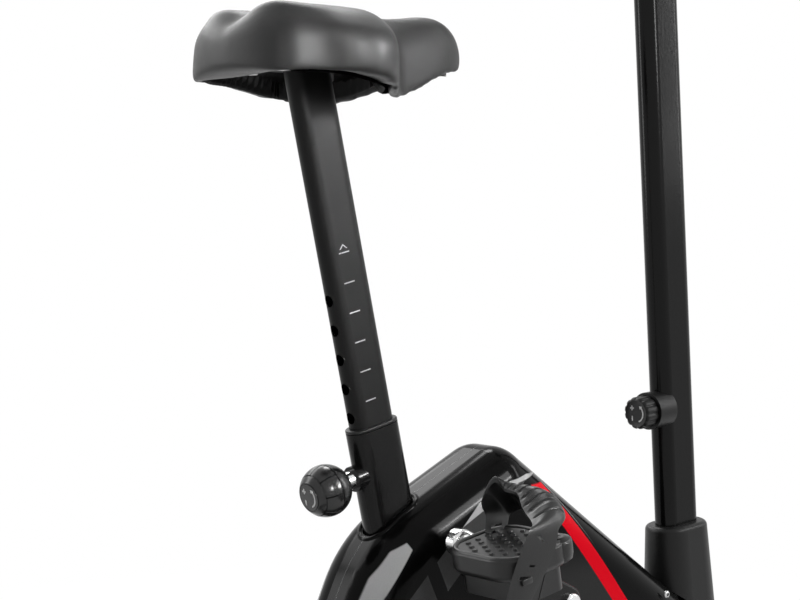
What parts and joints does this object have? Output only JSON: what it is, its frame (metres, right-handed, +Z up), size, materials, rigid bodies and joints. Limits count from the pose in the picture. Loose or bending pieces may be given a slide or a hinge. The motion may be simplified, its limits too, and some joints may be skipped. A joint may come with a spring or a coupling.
{
  "type": "exercise bike",
  "caption": "Upright exercise bike: padded saddle on a pin-adjusted post, shrouded belt drive to a magnetically braked flywheel, strapped pedals, mast with handlebar and console.",
  "frame": {"origin": "on the floor, at the middle of the footprint box", "axes": "+X forward as the rider faces, +Y the rider's left, +Z up"},
  "size_m": [0.952, 0.5, 1.2363],
  "materials": {
    "frame_paint": "gloss black powder coat",
    "post_paint": "satin textured powder coat",
    "shroud_plastic": "polished black moulding",
    "moulded_plastic": "fine grained black moulding",
    "pedal_plastic": "dark grey moulding",
    "pulley_plastic": "dark nylon",
    "button_plastic": "soft grey",
    "strap_rubber": "matte black",
    "belt_rubber": "matte black",
    "wheel_rubber": "smooth",
    "grip_foam": "foam",
    "saddle_vinyl": "satin black vinyl over foam",
    "chrome": "polished",
    "crank_paint": "satin black powder coat",
    "steel": "zinc plated",
    "iron": "turned rim",
    "window": "clear window"
  },
  "bodies": {
    "frame": {"base_rail": "frame_paint", "front_stabiliser": "frame_paint", "rear_stabiliser": "frame_paint", "stabiliser_bolts": "steel", "rear_caps": "moulded_plastic", "front_caps": "moulded_plastic", "seat_tube": "frame_paint", "seat_bushing": "moulded_plastic", "pin_barrel": "chrome", "crank_post": "frame_paint", "crank_bearings": "steel", "drive_belt": "belt_rubber", "flywheel_fork": "frame_paint", "flywheel_axle": "steel", "mast_stub": "frame_paint", "mast": "frame_paint", "mast_bolts": "steel", "right_shroud": "shroud_plastic", "left_shroud": "shroud_plastic", "mast_boot": "moulded_plastic", "clamp_cap": "moulded_plastic", "console": "moulded_plastic", "console_lens": "window", "tension_base": "moulded_plastic"},
    "crank": {"crank_axle": "steel", "crank_nuts": "chrome", "drive_pulley": "pulley_plastic", "right_crank": "crank_paint", "left_crank": "crank_paint", "right_spindle": "steel", "left_spindle": "steel"},
    "flywheel": {"flywheel": "iron", "flywheel_sheave": "pulley_plastic", "flywheel_bearings": "steel"},
    "idler": {"idler_wheel": "pulley_plastic"},
    "brake": {"brake_arm": "frame_paint", "brake_magnets": "steel"},
    "seat": {"seat_post": "post_paint", "saddle": "saddle_vinyl", "saddle_pan": "moulded_plastic", "saddle_nuts": "steel"},
    "pin": {"pull_pin": "steel", "pin_spring": "steel"},
    "knob": {"adjuster_knob": "moulded_plastic"},
    "right_pedal": {"right_pedal": "pedal_plastic", "right_strap": "strap_rubber"},
    "left_pedal": {"left_pedal": "pedal_plastic", "left_strap": "strap_rubber"},
    "handlebar": {"handlebar": "frame_paint", "grips": "grip_foam", "pulse_plates": "chrome"},
    "clamp_handle": {"clamp_handle": "moulded_plastic"},
    "tension_knob": {"tension_knob": "moulded_plastic"},
    "left_wheel": {"left_wheel": "wheel_rubber"},
    "right_wheel": {"right_wheel": "wheel_rubber"},
    "left_button": {"left_button": "button_plastic"},
    "middle_button": {"middle_button": "button_plastic"},
    "right_button": {"right_button": "button_plastic"}
  },
  "joints": [
    {"name": "seat_height", "type": "slide", "parent": "frame", "child": "seat", "axis": [-0.225, 0, 0.9744], "range_m": [-0.18, 0]},
    {"name": "pin_pull", "type": "slide", "parent": "frame", "child": "pin", "axis": [-0.9744, 0, -0.225], "range_m": [-0.008, 0]},
    {"name": "knob_turn", "type": "hinge", "parent": "pin", "child": "knob", "pos_m": [-0.19933, 0, 0.43038], "axis": [-0.9744, 0, -0.225], "continuous": true},
    {"name": "crank_spin", "type": "hinge", "parent": "frame", "child": "crank", "pos_m": [0.015, 0, 0.288], "axis": [0, 1, 0], "continuous": true},
    {"name": "flywheel_spin", "type": "hinge", "parent": "frame", "child": "flywheel", "pos_m": [0.15, 0, 0.195], "axis": [0, 1, 0], "continuous": true},
    {"name": "idler_spin", "type": "hinge", "parent": "frame", "child": "idler", "pos_m": [0.058, 0, 0.1666], "axis": [0, 1, 0], "continuous": true},
    {"name": "right_pedal_spin", "type": "hinge", "parent": "crank", "child": "right_pedal", "pos_m": [-0.1344, -0.15, 0.36912], "axis": [0, 1, 0], "continuous": true},
    {"name": "left_pedal_spin", "type": "hinge", "parent": "crank", "child": "left_pedal", "pos_m": [0.1644, 0.15, 0.20688], "axis": [0, 1, 0], "continuous": true},
    {"name": "tension_turn", "type": "hinge", "parent": "frame", "child": "tension_knob", "pos_m": [0.23937, 0, 0.46635], "axis": [-0.9976, 0, -0.0698], "range_deg": [0, 270]},
    {"name": "brake_swing", "type": "hinge", "parent": "frame", "child": "brake", "pos_m": [0.22071, 0, 0.11074], "axis": [0, 1, 0], "range_deg": [0, 4]},
    {"name": "bar_tilt", "type": "hinge", "parent": "frame", "child": "handlebar", "pos_m": [0.24294, 0, 1.04601], "axis": [0, 1, 0], "range_deg": [-20, 20]},
    {"name": "clamp_turn", "type": "hinge", "parent": "frame", "child": "clamp_handle", "pos_m": [0.21776, 0, 1.07632], "axis": [-0.0698, 0, 0.9976], "continuous": true},
    {"name": "left_wheel_spin", "type": "hinge", "parent": "frame", "child": "left_wheel", "pos_m": [0.454, 0.218, 0.026], "axis": [0, 1, 0], "continuous": true},
    {"name": "right_wheel_spin", "type": "hinge", "parent": "frame", "child": "right_wheel", "pos_m": [0.454, -0.218, 0.026], "axis": [0, 1, 0], "continuous": true},
    {"name": "left_button_press", "type": "slide", "parent": "frame", "child": "left_button", "axis": [0.8192, 0, -0.5736], "range_m": [0, 0.0015], "stiffness_N_per_m": 400},
    {"name": "middle_button_press", "type": "slide", "parent": "frame", "child": "middle_button", "axis": [0.8192, 0, -0.5736], "range_m": [0, 0.0015], "stiffness_N_per_m": 400},
    {"name": "right_button_press", "type": "slide", "parent": "frame", "child": "right_button", "axis": [0.8192, 0, -0.5736], "range_m": [0, 0.0015], "stiffness_N_per_m": 400}
  ],
  "couplings": [
    {"joint": "flywheel_spin", "follows": "crank_spin", "ratio": 4.6},
    {"joint": "idler_spin", "follows": "crank_spin", "ratio": -5.1111},
    {"joint": "brake_swing", "follows": "tension_turn", "ratio": 0.014815}
  ]
}
